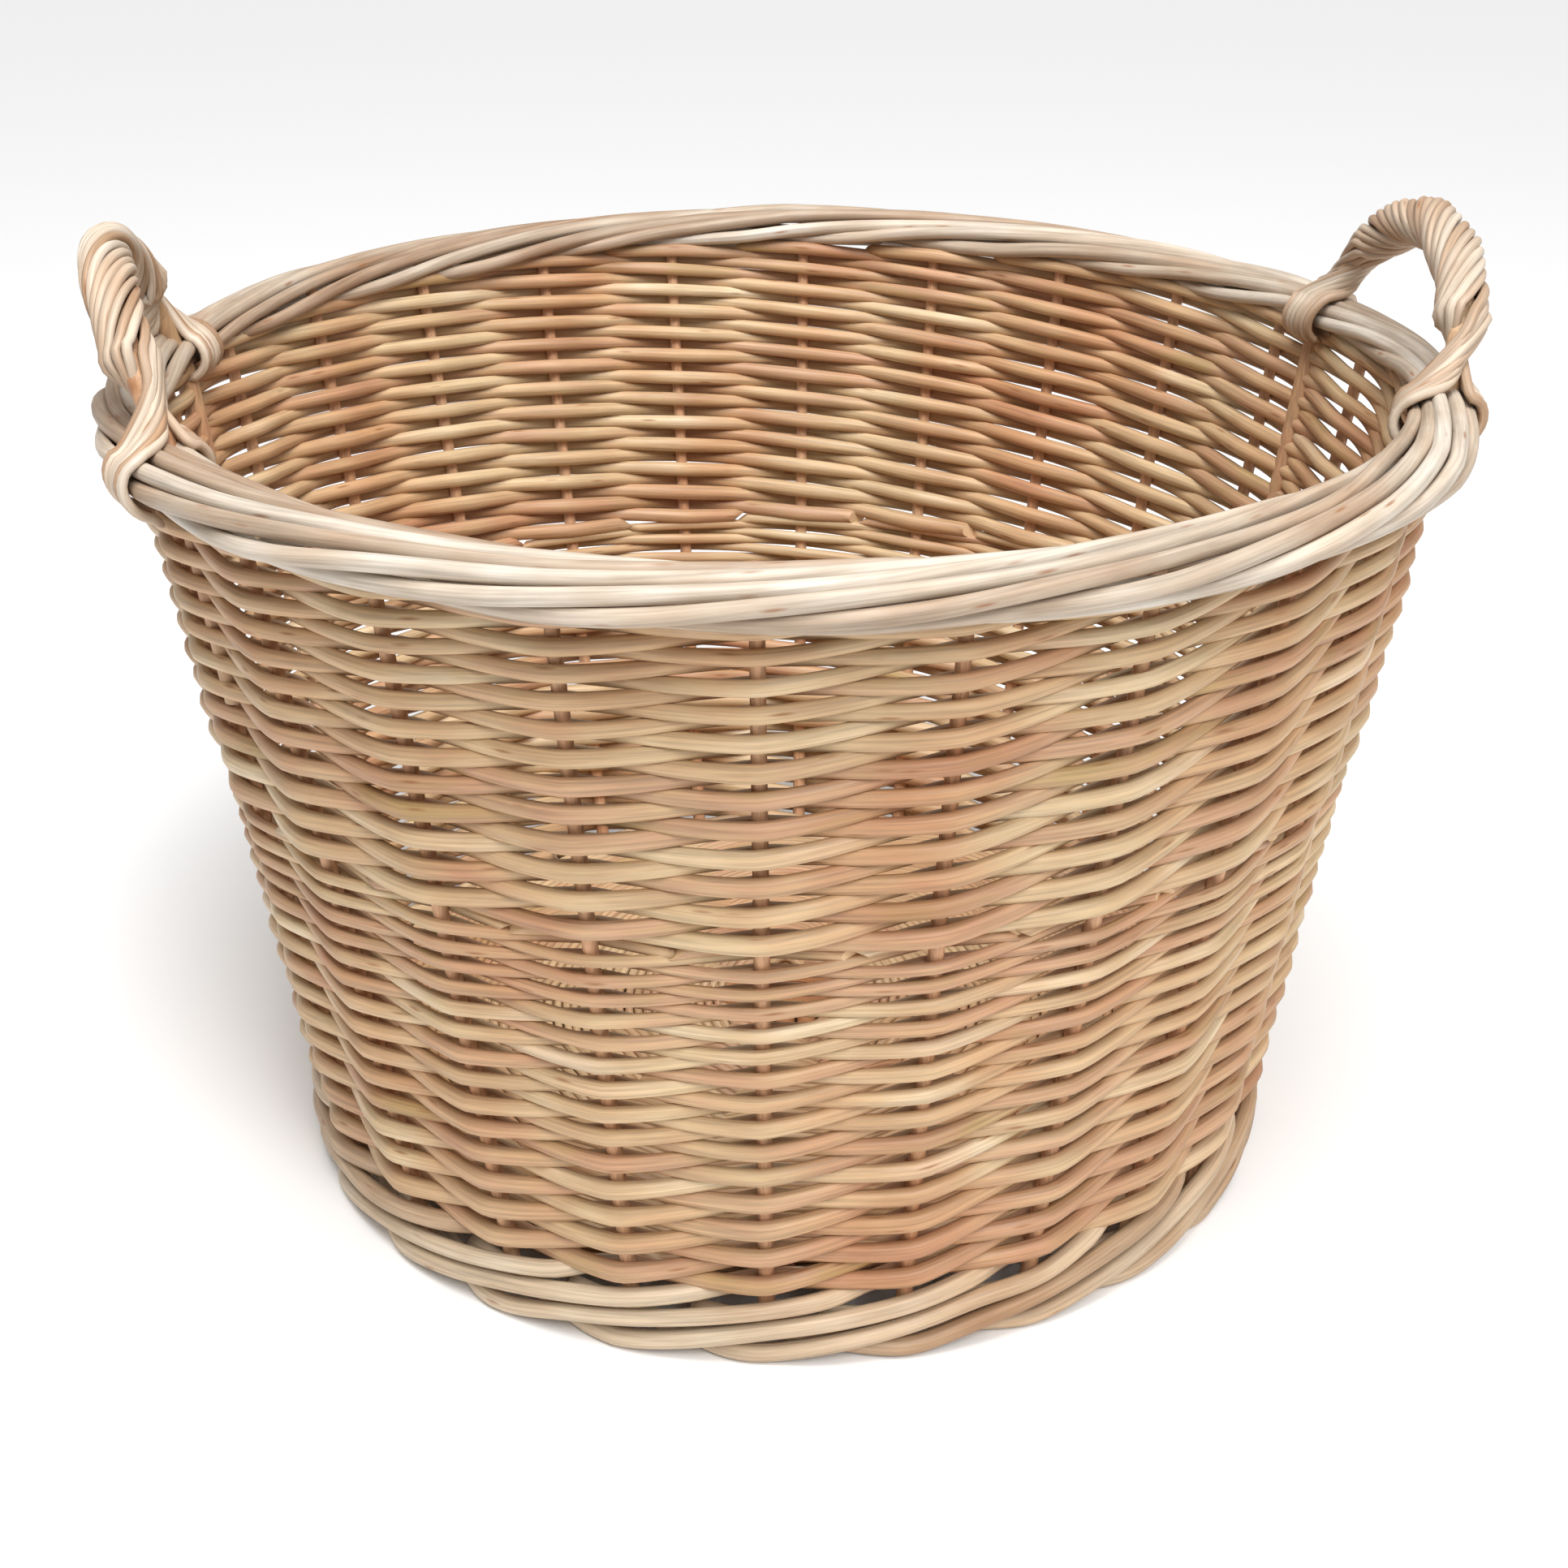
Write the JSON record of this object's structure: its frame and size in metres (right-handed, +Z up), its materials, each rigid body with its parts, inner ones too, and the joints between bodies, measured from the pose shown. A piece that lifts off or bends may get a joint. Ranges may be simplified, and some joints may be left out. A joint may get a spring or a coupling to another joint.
{
  "type": "laundry basket",
  "caption": "Round woven willow laundry basket with sloping sides, a thick rolled border and a bow handle wound with twisted rods standing up at each side.",
  "frame": {"origin": "middle of the basket on the floor that its foot wale stands on", "axes": "+Z up along the axis of the basket, +X towards the right handle, -Y towards the front"},
  "size_m": [0.4871, 0.4999, 0.3595],
  "materials": {
    "foot_willow": "satin",
    "base_willow": "satin",
    "stick_willow": "satin",
    "stake_willow": "satin",
    "side_willow": "satin",
    "border_willow": "satin",
    "bow_willow": "satin",
    "handle_willow": "satin"
  },
  "bodies": {
    "root": {"foot_wale": "foot_willow", "base_weave": "base_willow", "base_stick_1": "stick_willow", "base_stick_2": "stick_willow", "base_stick_3": "stick_willow", "base_stick_4": "stick_willow", "base_stick_5": "stick_willow", "base_stick_6": "stick_willow", "side_stake_01": "stake_willow", "side_stake_02": "stake_willow", "side_stake_03": "stake_willow", "side_stake_04": "stake_willow", "side_stake_05": "stake_willow", "side_stake_06": "stake_willow", "side_stake_07": "stake_willow", "side_stake_08": "stake_willow", "side_stake_09": "stake_willow", "side_stake_10": "stake_willow", "side_stake_11": "stake_willow", "side_stake_12": "stake_willow", "side_stake_13": "stake_willow", "side_stake_14": "stake_willow", "side_stake_15": "stake_willow", "side_stake_16": "stake_willow", "side_stake_17": "stake_willow", "side_stake_18": "stake_willow", "side_stake_19": "stake_willow", "side_stake_20": "stake_willow", "side_stake_21": "stake_willow", "side_stake_22": "stake_willow", "side_stake_23": "stake_willow", "side_stake_24": "stake_willow", "lower_side_weave": "side_willow", "upper_side_weave": "side_willow", "top_border": "border_willow", "right_handle_bow": "bow_willow", "right_handle_twist": "handle_willow", "right_handle_front_lashing": "handle_willow", "right_handle_rear_lashing": "handle_willow", "left_handle_bow": "bow_willow", "left_handle_twist": "handle_willow", "left_handle_front_lashing": "handle_willow", "left_handle_rear_lashing": "handle_willow"}
  },
  "joints": []
}
